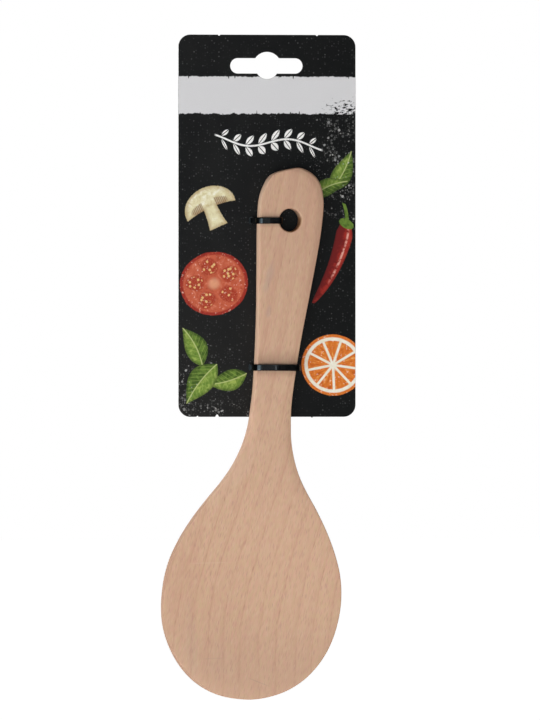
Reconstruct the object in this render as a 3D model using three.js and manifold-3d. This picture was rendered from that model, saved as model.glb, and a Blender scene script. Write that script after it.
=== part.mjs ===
// A flat beech serving spoon tied to its hang card by two nylon cable ties.
// Millimetres. +X to the right, +Z up, +Y from front to back, so the front faces -Y.
// The origin is where a peg bears in the hang slot: the top of its round middle, half way through the card.
import * as THREE from "three";
import { mergeVertices } from "three/addons/utils/BufferGeometryUtils.js";
import Module from "manifold-3d";

// ---- Driving dimensions ----
const CARD_LEFT_X = -38.9;
const CARD_RIGHT_X = 39.5;
const CARD_HEIGHT = 166.6;
const CARD_THICK = 0.6;
const CARD_TOP_Z = 7.5; // the card's top edge
const CARD_CORNER_R = 5.3;
// Marks that the die's holding nicks leave in the edges: [x, width, depth], and a negative depth is a nub that stands out.
const TOP_NICKS = [
  [-20.9, 1.3, 0.45],
  [22.4, 1.3, 0.45],
];
const BOTTOM_NICKS = [
  [-30.5, 1.0, 0.45],
  [-21.8, 1.7, 1.0],
  [20.2, 0.9, -0.35],
];

const SLOT_WIDTH = 32; // euro hang slot, end to end
const SLOT_HEIGHT = 6.67;
const SLOT_ROUND_X = 0.3; // its round middle, a wider arc above the arms and a tighter one below them
const SLOT_UPPER_R = 6.35;
const SLOT_UPPER_RISE = 2.75;
const SLOT_LOWER_R = 5.1;
const SLOT_LOWER_DROP = 2.45;
const TIE_HOLE_WIDTH = 2.4; // punched holes for the ties
const TIE_HOLE_HEIGHT = 3.1;
const TIE_HOLE_CORNER_R = 0.8;

const GAP = 0.3; // play between pieces that lie against each other

const SPOON_LENGTH = 233.05;
const HANDLE_THICK = 8.5;
const TIP_THICK = 5.8; // the blade thins towards its tip
const THIN_FROM = 104; // from the handle's end
const DISH_DEPTH = 1.3; // very shallow hollow in the blade's front
const DISH_AT = 184;
const DISH_HALF_LENGTH = 46;
const DISH_HALF_WIDTH = 37;
const EDGE_R = 1.1; // sanded edges
const SPOON_TILT = THREE.MathUtils.degToRad(6); // the handle leans to the right on the card
const SPOON_AXIS_X = 9.8; // the spoon's centre line, level with the hang hole
const SPOON_HOLE_Z = -73.45;
const HOLE_R = 5.05;
const HOLE_AT = 23.15; // from the handle's end
const HOLE_SIDE = -0.7; // the hole is drilled a little left of the centre line
const HOLE_CHAMFER = 0.5;
const TIP_SIDE = -1.0; // the tip is a little left of the centre line too

// The handle's end, a dome shaped by hand that is highest right of the centre: [across, from the end], left to right.
const END = [
  [-13.9, 12.6],
  [-12.85, 8.9],
  [-11.6, 6.1],
  [-10, 4.1],
  [-7.8, 2.8],
  [-5, 1.7],
  [-1.9, 0.7],
  [1.1, 0],
  [3.3, 0.33],
  [5.9, 1.25],
  [8.4, 2.85],
  [10.3, 4.87],
  [11.75, 7.5],
  [12.65, 10.3],
  [13.2, 13.5],
];
const END_TOP = 7; // the highest of them

// How far the spoon's edges are from its centre line: [from the handle's end, left, right].
const OUTLINE = [
  [16.74, 14.36, 13.48],
  [22.95, 14.12, 13.52],
  [30.07, 13.62, 13.32],
  [40.1, 12.62, 12.62],
  [50.12, 11.64, 11.76],
  [60.14, 10.68, 10.86],
  [70.17, 9.87, 9.93],
  [80.19, 9.19, 9.19],
  [90.22, 8.69, 8.69],
  [99.24, 8.37, 8.37],
  [106.25, 8.5, 8.5],
  [112.27, 8.72, 9.08],
  [117.28, 9.34, 9.7],
  [121.79, 10.29, 10.65],
  [126.3, 11.67, 11.98],
  [130.81, 13.44, 13.69],
  [135.32, 15.67, 15.91],
  [140.34, 18.64, 19.05],
  [147.85, 23.7, 24.3],
  [156.37, 29, 29.6],
  [165.4, 33.6, 34.2],
  [174.42, 36.95, 37.55],
  [182.44, 38.56, 39.09],
  [189.45, 38.99, 39.39],
  [196.47, 38.71, 38.77],
  [203.47, 37.5, 37.31],
  [209.94, 35.17, 34.89],
  [216.42, 31.59, 31.16],
  [222.4, 26.84, 26.26],
  [227.37, 21.05, 19.97],
  [230.96, 13.91, 12.28],
  [232.66, 7.31, 5.37],
];

const STRAP_WIDTH = 2.5;
const STRAP_THICK = 1.1;
const STRAP_BEND_R = 1.4; // at the middle of the strap's thickness
const TIE_HEAD_WIDTH = 4.7;
const TIE_HEAD_LENGTH = 4.9;
const TIE_HEAD_HEIGHT = 3.5;
const TIE_SLOT_PLAY = 0.35;
const TIE_TAIL = 2.2; // the trimmed end past the head
const UPPER_TIE = { z: -73.45, cardLeft: -6.6, frontLeft: -5.4, right: 5.25 };
const LOWER_TIE = { z: -137.3, cardLeft: -6.6, frontLeft: -6.75, right: 13.05 };

// ---- Derived places ----
const CARD_FRONT_Y = -CARD_THICK / 2;
const CARD_BACK_Y = CARD_THICK / 2;
const SPOON_BACK_Y = CARD_FRONT_Y - GAP;
const SPOON_FRONT_Y = SPOON_BACK_Y - HANDLE_THICK;

const wasm = await Module();
wasm.setup();

// A closed geometry as a solid that can be joined and cut.
function solid(geometry) {
  const g = geometry.clone();
  g.deleteAttribute("normal");
  g.deleteAttribute("uv");
  const merged = mergeVertices(g, 1e-4);
  return new wasm.Manifold(
    new wasm.Mesh({
      numProp: 3,
      vertProperties: new Float32Array(merged.attributes.position.array),
      triVerts: new Uint32Array(merged.index.array),
    }),
  );
}

function geometryOf(made) {
  const mesh = made.getMesh();
  const g = new THREE.BufferGeometry();
  g.setAttribute(
    "position",
    new THREE.BufferAttribute(new Float32Array(mesh.vertProperties), 3),
  );
  g.setIndex(new THREE.BufferAttribute(new Uint32Array(mesh.triVerts), 1));
  g.computeVertexNormals();
  return g;
}

// A flat shape drawn in x and z, made thick along y: its back at y and its front at y - thick.
function plate(shape, thick, y, curveSegments = 12) {
  return new THREE.ExtrudeGeometry(shape, {
    depth: thick,
    bevelEnabled: false,
    curveSegments,
  })
    .rotateX(Math.PI / 2)
    .translate(0, y, 0);
}

// ---- The spoon ----
// Drawn flat: x across, y up the handle with 0 at the hang hole, z from the back face to the front.
function thicknessAt(along) {
  const t = THREE.MathUtils.smoothstep(along, THIN_FROM, SPOON_LENGTH + 30);
  return HANDLE_THICK - (HANDLE_THICK - TIP_THICK) * t * 1.15;
}

function frontAt(x, along) {
  const q =
    (x / DISH_HALF_WIDTH) ** 2 +
    ((along - DISH_AT) / DISH_HALF_LENGTH) ** 2;
  const dish = q < 1 ? DISH_DEPTH * (1 - q) ** 2 : 0;
  return thicknessAt(along) - dish;
}

function spoonBlank() {
  const rows = 84; // stations from the handle's end to the tip
  const across = 10;
  const steps = 3; // facets of the sanded edge
  const end = END.map(([x, s]) => new THREE.Vector3(x, s, 0));
  const right = OUTLINE.map(([s, , h]) => new THREE.Vector3(h, s, 0));
  const left = [...OUTLINE]
    .reverse()
    .map(([s, h]) => new THREE.Vector3(-h, s, 0));
  const curve = new THREE.CatmullRomCurve3(
    [
      ...end.slice(END_TOP),
      ...right,
      new THREE.Vector3(TIP_SIDE, SPOON_LENGTH, 0),
      ...left,
      ...end.slice(0, END_TOP),
    ],
    true,
    "centripetal",
  );
  curve.arcLengthDivisions = 2000;
  const around = 2 * rows;
  const rim = curve.getSpacedPoints(around).slice(0, around);
  const outward = rim.map((p, i) => {
    const d = new THREE.Vector3().subVectors(
      rim[(i + 1) % around],
      rim[(i + around - 1) % around],
    );
    return new THREE.Vector3(d.y, -d.x, 0).normalize();
  });

  const points = [];
  const put = (x, along, z) => points.push([x, HOLE_AT - along, z]) - 1;
  const rings = [];
  const inset = rim.map((p, i) =>
    p.clone().addScaledVector(outward[i], -EDGE_R),
  );
  for (let k = 0; k <= steps; k++) {
    const turn = ((Math.PI / 2) * k) / steps;
    rings.push(
      rim.map((p, i) => {
        const q = p
          .clone()
          .addScaledVector(outward[i], -EDGE_R * (1 - Math.sin(turn)));
        const top = frontAt(inset[i].x, inset[i].y);
        return put(q.x, q.y, top - EDGE_R * (1 - Math.cos(turn)));
      }),
    );
  }
  for (let k = steps; k >= 0; k--) {
    const turn = ((Math.PI / 2) * k) / steps;
    rings.push(
      rim.map((p, i) => {
        const q = p
          .clone()
          .addScaledVector(outward[i], -EDGE_R * (1 - Math.sin(turn)));
        return put(q.x, q.y, EDGE_R * (1 - Math.cos(turn)));
      }),
    );
  }

  const faces = [];
  const tri = (a, b, c) => {
    if (a !== b && b !== c && a !== c) faces.push(a, b, c);
  };
  for (let k = 0; k + 1 < rings.length; k++)
    for (let m = 0; m < around; m++) {
      const n = (m + 1) % around;
      tri(rings[k][m], rings[k][n], rings[k + 1][m]);
      tri(rings[k][n], rings[k + 1][n], rings[k + 1][m]);
    }
  // Front: chords across the spoon from the left inset edge to the right one.
  const chords = [];
  for (let i = 0; i <= rows; i++) {
    const r = rings[0][i],
      l = rings[0][(around - i) % around];
    const chord = [l];
    if (r !== l) {
      for (let j = 1; j < across; j++) {
        const q = new THREE.Vector3().lerpVectors(
          inset[around - i],
          inset[i],
          j / across,
        );
        chord.push(put(q.x, q.y, frontAt(q.x, q.y)));
      }
      chord.push(r);
    } else for (let j = 1; j <= across; j++) chord.push(l);
    chords.push(chord);
  }
  for (let i = 0; i < rows; i++)
    for (let j = 0; j < across; j++) {
      const [a, b] = [chords[i][j], chords[i][j + 1]];
      const [c, d] = [chords[i + 1][j], chords[i + 1][j + 1]];
      tri(a, c, d);
      tri(a, d, b);
    }
  // Back: flat.
  const last = rings[rings.length - 1];
  for (let i = 0; i < rows; i++) {
    const [a, b] = [last[(around - i) % around], last[i]];
    const [c, d] = [last[(around - i - 1) % around], last[i + 1]];
    tri(a, d, c);
    tri(a, b, d);
  }
  const g = new THREE.BufferGeometry();
  g.setAttribute(
    "position",
    new THREE.BufferAttribute(new Float32Array(points.flat()), 3),
  );
  g.setIndex(faces);
  return g;
}

function spoonGeometry() {
  // The drilled hang hole, eased at both mouths.
  const over = 1;
  const t = HANDLE_THICK,
    c = HOLE_CHAMFER,
    r = HOLE_R;
  const drill = new THREE.LatheGeometry(
    [
      new THREE.Vector2(0, -over),
      new THREE.Vector2(r + c + over, -over),
      new THREE.Vector2(r, c),
      new THREE.Vector2(r, t - c),
      new THREE.Vector2(r + c + over, t + over),
      new THREE.Vector2(0, t + over),
    ],
    40,
  )
    .rotateX(Math.PI / 2)
    .translate(HOLE_SIDE, 0, 0);
  return geometryOf(solid(spoonBlank()).subtract(solid(drill))).rotateX(
    Math.PI / 2,
  );
}

// ---- The hang card ----
// Draws an edge along x at height z, with the marks in it. out is +1 where outside is up.
function markedEdge(shape, marks, z, out) {
  for (const [x, width, depth] of marks) {
    const way = -out; // the top edge is drawn to the left, the bottom edge to the right
    shape.lineTo(x - (way * width) / 2, z);
    shape.lineTo(x - (way * width) / 6, z - out * depth);
    shape.lineTo(x + (way * width) / 6, z - out * depth);
    shape.lineTo(x + (way * width) / 2, z);
  }
}

function cardGeometry() {
  const a = CARD_LEFT_X,
    b = CARD_RIGHT_X,
    r = CARD_CORNER_R,
    top = CARD_TOP_Z,
    low = CARD_TOP_Z - CARD_HEIGHT;
  const s = new THREE.Shape();
  s.moveTo(a + r, low);
  markedEdge(s, [...BOTTOM_NICKS].sort((p, q) => p[0] - q[0]), low, -1);
  s.lineTo(b - r, low);
  s.absarc(b - r, low + r, r, -Math.PI / 2, 0);
  s.lineTo(b, top - r);
  s.absarc(b - r, top - r, r, 0, Math.PI / 2);
  markedEdge(s, [...TOP_NICKS].sort((p, q) => q[0] - p[0]), top, 1);
  s.lineTo(a + r, top);
  s.absarc(a + r, top - r, r, Math.PI / 2, Math.PI);
  s.lineTo(a, low + r);
  s.absarc(a + r, low + r, r, Math.PI, 1.5 * Math.PI);

  // Hang slot: two arms with rounded ends and a round middle whose top is at z = 0.
  const e = SLOT_HEIGHT / 2,
    reach = SLOT_WIDTH / 2 - e,
    mid = -SLOT_UPPER_RISE - e,
    lowest = -SLOT_UPPER_RISE - SLOT_HEIGHT - SLOT_LOWER_DROP;
  const up = Math.asin(1 - SLOT_UPPER_RISE / SLOT_UPPER_R);
  const down = Math.asin(1 - SLOT_LOWER_DROP / SLOT_LOWER_R);
  const slot = new THREE.Path();
  slot.absarc(SLOT_ROUND_X, -SLOT_UPPER_R, SLOT_UPPER_R, up, Math.PI - up);
  slot.absarc(-reach, mid, e, Math.PI / 2, 1.5 * Math.PI);
  slot.absarc(
    SLOT_ROUND_X,
    lowest + SLOT_LOWER_R,
    SLOT_LOWER_R,
    Math.PI + down,
    2 * Math.PI - down,
  );
  slot.absarc(reach, mid, e, -Math.PI / 2, Math.PI / 2);
  s.holes.push(slot);
  for (const tie of [UPPER_TIE, LOWER_TIE])
    for (const x of [tie.cardLeft, tie.right]) {
      const hole = new THREE.Path();
      const w = TIE_HOLE_WIDTH / 2 - TIE_HOLE_CORNER_R,
        h = TIE_HOLE_HEIGHT / 2 - TIE_HOLE_CORNER_R;
      [
        [w, h],
        [-w, h],
        [-w, -h],
        [w, -h],
      ].forEach(([cx, cz], k) =>
        hole.absarc(
          x + cx,
          tie.z + cz,
          TIE_HOLE_CORNER_R,
          (k * Math.PI) / 2,
          ((k + 1) * Math.PI) / 2,
        ),
      );
      s.holes.push(hole);
    }
  return plate(s, CARD_THICK, CARD_BACK_Y, 10);
}

// ---- The cable ties ----
// The strap's middle line, seen from above, with its corners rounded.
function rounded(corners, radius, facets) {
  const out = [corners[0].clone()];
  for (let i = 1; i + 1 < corners.length; i++) {
    const p = corners[i];
    const u = corners[i - 1].clone().sub(p).normalize();
    const v = corners[i + 1].clone().sub(p).normalize();
    const half = Math.acos(THREE.MathUtils.clamp(u.dot(v), -1, 1)) / 2;
    if (half > 0.495 * Math.PI) {
      out.push(p.clone()); // all but straight
      continue;
    }
    const back = radius / Math.tan(half);
    const a = p.clone().addScaledVector(u, back);
    const b = p.clone().addScaledVector(v, back);
    const centre = p
      .clone()
      .addScaledVector(u.clone().add(v).normalize(), radius / Math.sin(half));
    const a0 = Math.atan2(a.y - centre.y, a.x - centre.x);
    let turn = Math.atan2(b.y - centre.y, b.x - centre.x) - a0;
    if (turn > Math.PI) turn -= 2 * Math.PI;
    if (turn < -Math.PI) turn += 2 * Math.PI;
    for (let k = 0; k <= facets; k++) {
      const at = a0 + (turn * k) / facets;
      out.push(
        new THREE.Vector2(
          centre.x + radius * Math.cos(at),
          centre.y + radius * Math.sin(at),
        ),
      );
    }
  }
  out.push(corners[corners.length - 1].clone());
  return out;
}

function strapGeometry(line) {
  const side = line.map((p, i) => {
    const d = new THREE.Vector2().subVectors(
      line[Math.min(i + 1, line.length - 1)],
      line[Math.max(i - 1, 0)],
    );
    return new THREE.Vector2(-d.y, d.x)
      .normalize()
      .multiplyScalar(STRAP_THICK / 2);
  });
  const one = line.map((p, i) => p.clone().add(side[i]));
  const other = line.map((p, i) => p.clone().sub(side[i])).reverse();
  return new THREE.ExtrudeGeometry(new THREE.Shape([...one, ...other]), {
    depth: STRAP_WIDTH,
    bevelEnabled: false,
  }).translate(0, 0, -STRAP_WIDTH / 2);
}

function tieGeometry(tie) {
  const headFrontY = CARD_BACK_Y + GAP;
  const headBackY = headFrontY + TIE_HEAD_HEIGHT;
  const backY = headFrontY + STRAP_THICK / 2;
  const frontY = SPOON_FRONT_Y - GAP - STRAP_THICK / 2;
  const root = tie.cardLeft + TIE_HEAD_LENGTH / 2;
  // From the head along the card's back, out through the right hole, over the wood, and back through the left hole and the head.
  const line = rounded(
    [
      new THREE.Vector2(root - 0.9, backY),
      new THREE.Vector2(tie.right, backY),
      new THREE.Vector2(tie.right, frontY),
      new THREE.Vector2(tie.frontLeft, frontY),
      new THREE.Vector2(tie.cardLeft, CARD_FRONT_Y - 0.6),
      new THREE.Vector2(tie.cardLeft, headBackY + TIE_TAIL),
    ],
    STRAP_BEND_R,
    6,
  );
  const l = TIE_HEAD_LENGTH / 2,
    h = TIE_HEAD_WIDTH / 2,
    c = 0.7;
  const face = new THREE.Shape([
    new THREE.Vector2(-l, -h + c),
    new THREE.Vector2(-l + c, -h),
    new THREE.Vector2(l - c, -h),
    new THREE.Vector2(l, -h + c),
    new THREE.Vector2(l, h - c),
    new THREE.Vector2(l - c, h),
    new THREE.Vector2(-l + c, h),
    new THREE.Vector2(-l, h - c),
  ]);
  const sx = STRAP_THICK / 2 + TIE_SLOT_PLAY,
    sz = STRAP_WIDTH / 2 + TIE_SLOT_PLAY;
  face.holes.push(
    new THREE.Path([
      new THREE.Vector2(-sx, -sz),
      new THREE.Vector2(-sx, sz),
      new THREE.Vector2(sx, sz),
      new THREE.Vector2(sx, -sz),
    ]),
  );
  const head = plate(face, TIE_HEAD_HEIGHT, headBackY).translate(
    tie.cardLeft,
    0,
    0,
  );
  return geometryOf(solid(head).add(solid(strapGeometry(line))));
}

// ---- The assembly ----
const beech = new THREE.MeshStandardMaterial({
  color: 0xcba78c,
  roughness: 0.68,
  metalness: 0,
});
const printedCard = new THREE.MeshStandardMaterial({
  color: 0x1d1c1d,
  roughness: 0.45,
  metalness: 0,
});
const blackNylon = new THREE.MeshStandardMaterial({
  color: 0x0b0b0c,
  roughness: 0.28,
  metalness: 0,
});

function mesh(name, geometry, material) {
  const m = new THREE.Mesh(geometry, material);
  m.name = name;
  return m;
}

const spoon = mesh("wooden_spoon", spoonGeometry(), beech);
spoon.position.set(SPOON_AXIS_X, SPOON_BACK_Y, SPOON_HOLE_Z);
spoon.rotation.y = SPOON_TILT;

const card = mesh("backing_card", cardGeometry(), printedCard);

const upperTie = mesh("upper_cable_tie", tieGeometry(UPPER_TIE), blackNylon);
upperTie.position.z = UPPER_TIE.z;
const lowerTie = mesh("lower_cable_tie", tieGeometry(LOWER_TIE), blackNylon);
lowerTie.position.z = LOWER_TIE.z;

const cardedSpoon = new THREE.Group();
cardedSpoon.name = "carded_spoon";
cardedSpoon.add(card, spoon, upperTie, lowerTie);

export default cardedSpoon;
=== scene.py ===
"""A flat beech serving spoon tied to its hang card by two cable ties: fine surfaces, materials, light and camera.

Everything is in metres in the CAD frame: +X right, +Z up, +Y from front to back, the front faces -Y. Lengths below are in
millimetres and are scaled when a mesh is made.
"""

import math

import bpy
import numpy as np
from mathutils import Matrix, Vector
from mathutils.geometry import delaunay_2d_cdt


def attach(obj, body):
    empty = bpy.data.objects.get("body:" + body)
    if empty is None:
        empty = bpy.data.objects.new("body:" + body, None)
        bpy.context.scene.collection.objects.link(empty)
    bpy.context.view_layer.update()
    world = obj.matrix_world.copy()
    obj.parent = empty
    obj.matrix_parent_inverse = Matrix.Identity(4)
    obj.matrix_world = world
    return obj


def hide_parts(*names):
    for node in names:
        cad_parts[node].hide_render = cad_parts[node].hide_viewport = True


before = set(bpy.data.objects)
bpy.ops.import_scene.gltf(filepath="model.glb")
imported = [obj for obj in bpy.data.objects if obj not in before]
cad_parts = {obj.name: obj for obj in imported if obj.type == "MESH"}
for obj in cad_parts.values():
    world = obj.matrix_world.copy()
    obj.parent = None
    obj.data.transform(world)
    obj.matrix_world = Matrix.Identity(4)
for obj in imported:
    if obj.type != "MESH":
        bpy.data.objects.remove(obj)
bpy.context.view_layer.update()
MM = 0.001

# ---------------------------------------------------------------- dimensions (mm), as in the CAD
CARD_LEFT_X, CARD_RIGHT_X, CARD_HEIGHT, CARD_THICK = -38.9, 39.5, 166.6, 0.6
CARD_TOP_Z, CARD_CORNER_R = 7.5, 5.3
TOP_NICKS = [(-20.9, 1.3, 0.45), (22.4, 1.3, 0.45)]
BOTTOM_NICKS = [(-30.5, 1.0, 0.45), (-21.8, 1.7, 1.0), (20.2, 0.9, -0.35)]
SLOT_WIDTH, SLOT_HEIGHT, SLOT_ROUND_X = 32.0, 6.67, 0.3
SLOT_UPPER_R, SLOT_UPPER_RISE, SLOT_LOWER_R, SLOT_LOWER_DROP = 6.35, 2.75, 5.1, 2.45
TIE_HOLE_WIDTH, TIE_HOLE_HEIGHT, TIE_HOLE_CORNER_R = 2.4, 3.1, 0.8
GAP = 0.3

SPOON_LENGTH, HANDLE_THICK, TIP_THICK, THIN_FROM = 232.95, 8.5, 5.8, 104.0
DISH_DEPTH, DISH_AT, DISH_HALF_LENGTH, DISH_HALF_WIDTH = 1.3, 184.0, 46.0, 37.0
EDGE_R, END_EDGE_R = 0.5, 1.5  # sanded edges, and the well rubbed right shoulder of the handle's end
CROWN_LEFT, CROWN_RIGHT, CROWN_FADE = (0.07, 1.2), (0.85, 4.2), (122.0, 150.0)  # the handle's face falls away towards its edges: drop, width
NECK_LEFT, NECK_RIGHT = (0.30, 2.6, 106.0, 116.0, 118.0, 132.0), (0.11, 2.8, 100.0, 112.0, 116.0, 130.0)  # sanded beside the neck: slope, width, start, end
TIP_CROWN = (0.55, 6.5, 212.0, 230.0)  # the blade's face falls away towards the edge of its tip: drop, width, from, to
SPOON_TILT = math.radians(6)
SPOON_AXIS_X, SPOON_HOLE_Z = 9.8, -73.45
HOLE_R, HOLE_AT, HOLE_SIDE = 5.05, 23.15, -0.7
HOLE_OVAL = (0.97, 0.93)  # the bore is a little narrower across: its left half and its right half
TIP_SIDE = -1.0
END = [  # the handle's end, (across, along) from left to right
    (-13.9, 12.6), (-12.85, 8.9), (-11.6, 6.1), (-10, 4.1), (-7.8, 2.8), (-5, 1.7), (-1.9, 0.7), (1.1, 0),
    (3.3, 0.33), (5.9, 1.25), (8.4, 2.85), (10.3, 4.87), (11.75, 7.5), (12.65, 10.3), (13.2, 13.5),
]
END_TOP = 7
OUTLINE = [  # (along, left, right)
    (16.74, 14.36, 13.48), (22.95, 14.12, 13.52), (30.07, 13.62, 13.32), (40.1, 12.62, 12.62), (50.12, 11.64, 11.76), (60.14, 10.68, 10.86),
    (70.17, 9.87, 9.93), (80.19, 9.19, 9.19), (90.22, 8.69, 8.69), (99.24, 8.37, 8.37), (106.25, 8.5, 8.5), (112.27, 8.72, 9.08),
    (117.28, 9.34, 9.7), (121.79, 10.29, 10.65), (126.3, 11.67, 11.98), (130.81, 13.44, 13.69), (135.32, 15.67, 15.91), (140.34, 18.64, 19.05),
    (147.85, 23.7, 24.3), (156.37, 29, 29.6), (165.4, 33.6, 34.2), (174.42, 36.95, 37.55), (182.44, 38.56, 39.09), (189.45, 38.98, 39.38),
    (196.47, 38.69, 38.76), (203.47, 37.5, 37.31), (209.94, 35.17, 34.89), (216.42, 31.59, 31.16), (222.4, 26.8, 26.1), (227.37, 20.85, 19.55),
    (230.9, 13.75, 11.7), (232.55, 7.1, 5.0),
]

STRAP_WIDTH, STRAP_THICK, STRAP_BEND_R = 2.74, 1.1, 1.4
HEAD_WIDTH, HEAD_LENGTH, HEAD_HEIGHT = 4.7, 4.9, 3.5
SLOT_PLAY, TIE_TAIL = 0.1, 2.2
UPPER_TIE = {"z": -73.53, "card_left": -6.6, "front_left": -5.55, "right": 5.25}
LOWER_TIE = {"z": -137.48, "card_left": -6.6, "front_left": -6.9, "right": 13.05}

CARD_FRONT_Y, CARD_BACK_Y = -CARD_THICK / 2, CARD_THICK / 2
SPOON_BACK_Y = CARD_FRONT_Y - GAP
SPOON_FRONT_Y = SPOON_BACK_Y - HANDLE_THICK

# ---------------------------------------------------------------- camera: the photograph's viewing angle
VIEW_TURN = math.radians(10)  # seen a little from the left
LENS = 800.0
PX = 0.436 * MM  # one picture pixel at the card
target = Vector((1.64 * MM, 0, -134.3 * MM))
distance = 360 * PX / (18.0 / LENS)
look = Vector((math.sin(VIEW_TURN), math.cos(VIEW_TURN), 0))
camera_data = bpy.data.cameras.new("camera")
camera_data.lens = LENS
camera_data.sensor_width = 36.0
camera_data.clip_start, camera_data.clip_end = 0.1, 200.0
camera = bpy.data.objects.new("camera", camera_data)
bpy.context.scene.collection.objects.link(camera)
camera.location = target - look * distance
camera.rotation_euler = look.to_track_quat("-Z", "Y").to_euler()
bpy.context.scene.camera = camera


# ---------------------------------------------------------------- node helpers
def linear(r, g, b):
    """A display colour, 0 to 255, as a linear RGBA tuple."""
    out = []
    for v in (r, g, b):
        v /= 255.0
        out.append(v / 12.92 if v <= 0.04045 else ((v + 0.055) / 1.055) ** 2.4)
    return (*out, 1.0)


class Graph:
    """Writes a material's nodes as expressions. A value is a number or a socket."""

    def __init__(self, name):
        self.material = bpy.data.materials.new(name)
        self.material.use_nodes = True
        self.tree = self.material.node_tree
        self.tree.nodes.clear()
        self.count = 0

    def node(self, kind, **settings):
        n = self.tree.nodes.new(kind)
        n.location = (180 * (self.count % 40), -220 * (self.count // 40))
        self.count += 1
        for key, value in settings.items():
            setattr(n, key, value)
        return n

    def put(self, socket, value):
        if value is None:
            return
        if isinstance(value, bpy.types.NodeSocket):
            self.tree.links.new(value, socket)
        else:
            socket.default_value = value

    def math(self, op, a, b=None, c=None, clamp=False):
        n = self.node("ShaderNodeMath", operation=op, use_clamp=clamp)
        for i, v in enumerate((a, b, c)):
            self.put(n.inputs[i], v)
        return n.outputs[0]

    def add(self, a, b):
        return self.math("ADD", a, b)

    def sub(self, a, b):
        return self.math("SUBTRACT", a, b)

    def mul(self, a, b):
        return self.math("MULTIPLY", a, b)

    def div(self, a, b):
        return self.math("DIVIDE", a, b)

    def mad(self, a, b, c):
        return self.math("MULTIPLY_ADD", a, b, c)

    def low(self, a, b):
        return self.math("MINIMUM", a, b)

    def high(self, a, b):
        return self.math("MAXIMUM", a, b)

    def length(self, a, b):
        return self.math("SQRT", self.mad(a, a, self.mul(b, b)))

    def ramp(self, value, low, high, to_low=0.0, to_high=1.0, smooth=True):
        n = self.node("ShaderNodeMapRange", interpolation_type="SMOOTHSTEP" if smooth else "LINEAR", clamp=True)
        for i, v in enumerate((value, low, high, to_low, to_high)):
            self.put(n.inputs[i], v)
        return n.outputs[0]

    def inside(self, distance, soft=0.12):
        """1 inside a shape whose signed distance this is, 0 outside, with a soft printed edge."""
        return self.ramp(distance, -soft, soft, 1.0, 0.0)

    def vector(self, x, y, z):
        n = self.node("ShaderNodeCombineXYZ")
        for i, v in enumerate((x, y, z)):
            self.put(n.inputs[i], v)
        return n.outputs[0]

    def split(self, vector):
        n = self.node("ShaderNodeSeparateXYZ")
        self.put(n.inputs[0], vector)
        return n.outputs[0], n.outputs[1], n.outputs[2]

    def noise(self, vector, scale=1.0, detail=2.0, rough=0.5, distortion=0.0):
        n = self.node("ShaderNodeTexNoise", noise_dimensions="3D")
        self.put(n.inputs["Vector"], vector)
        self.put(n.inputs["Scale"], scale)
        self.put(n.inputs["Detail"], detail)
        self.put(n.inputs["Roughness"], rough)
        self.put(n.inputs["Distortion"], distortion)
        return n.outputs["Fac"]

    def cells(self, vector, scale=1.0, randomness=1.0, feature="F1"):
        n = self.node("ShaderNodeTexVoronoi", voronoi_dimensions="3D", feature=feature)
        self.put(n.inputs["Vector"], vector)
        self.put(n.inputs["Scale"], scale)
        self.put(n.inputs["Randomness"], randomness)
        return n.outputs["Distance"], n.outputs["Color"]

    def flat_cells(self, u, v):
        """Cells in a plane: the distance to the nearest centre and three random values of its cell."""
        n = self.node("ShaderNodeTexVoronoi", voronoi_dimensions="2D", feature="F1")
        self.put(n.inputs["Vector"], self.vector(u, v, 0.0))
        self.put(n.inputs["Scale"], 1.0)
        return (n.outputs["Distance"], *self.split(n.outputs["Color"]))

    def mix(self, amount, a, b, blend="MIX"):
        n = self.node("ShaderNodeMix", data_type="RGBA", blend_type=blend)
        self.put(n.inputs[0], amount)
        self.put(n.inputs[6], a)
        self.put(n.inputs[7], b)
        return n.outputs[2]

    def blend(self, amount, a, b):
        n = self.node("ShaderNodeMix", data_type="FLOAT")
        self.put(n.inputs[0], amount)
        self.put(n.inputs[2], a)
        self.put(n.inputs[3], b)
        return n.outputs[0]

    def curve(self, value, points):
        n = self.node("ShaderNodeFloatCurve")
        c = n.mapping.curves[0]
        while len(c.points) > 2:
            c.points.remove(c.points[1])
        c.points[0].location = points[0]
        c.points[1].location = points[-1]
        for p in points[1:-1]:
            c.points.new(*p)
        n.mapping.update()
        self.put(n.inputs["Value"], value)
        return n.outputs[0]

    def place(self):
        """Object coordinates in millimetres: x, y, z."""
        n = self.node("ShaderNodeTexCoord")
        v = self.node("ShaderNodeVectorMath", operation="SCALE")
        self.put(v.inputs[0], n.outputs["Object"])
        v.inputs["Scale"].default_value = 1000.0
        return self.split(v.outputs[0])

    def normal(self):
        n = self.node("ShaderNodeTexCoord")
        return self.split(n.outputs["Normal"])

    def surface(self, colour, rough, height=None, bump=(0.3, 0.0001), **sockets):
        p = self.node("ShaderNodeBsdfPrincipled")
        self.put(p.inputs["Base Color"], colour)
        self.put(p.inputs["Roughness"], rough)
        for key, value in sockets.items():
            self.put(p.inputs[key.replace("_", " ")], value)
        if height is not None:
            b = self.node("ShaderNodeBump")
            b.inputs["Strength"].default_value = bump[0]
            b.inputs["Distance"].default_value = bump[1]
            self.put(b.inputs["Height"], height)
            self.put(p.inputs["Normal"], b.outputs[0])
        out = self.node("ShaderNodeOutputMaterial")
        self.tree.links.new(p.outputs[0], out.inputs[0])
        return self.material


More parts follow.
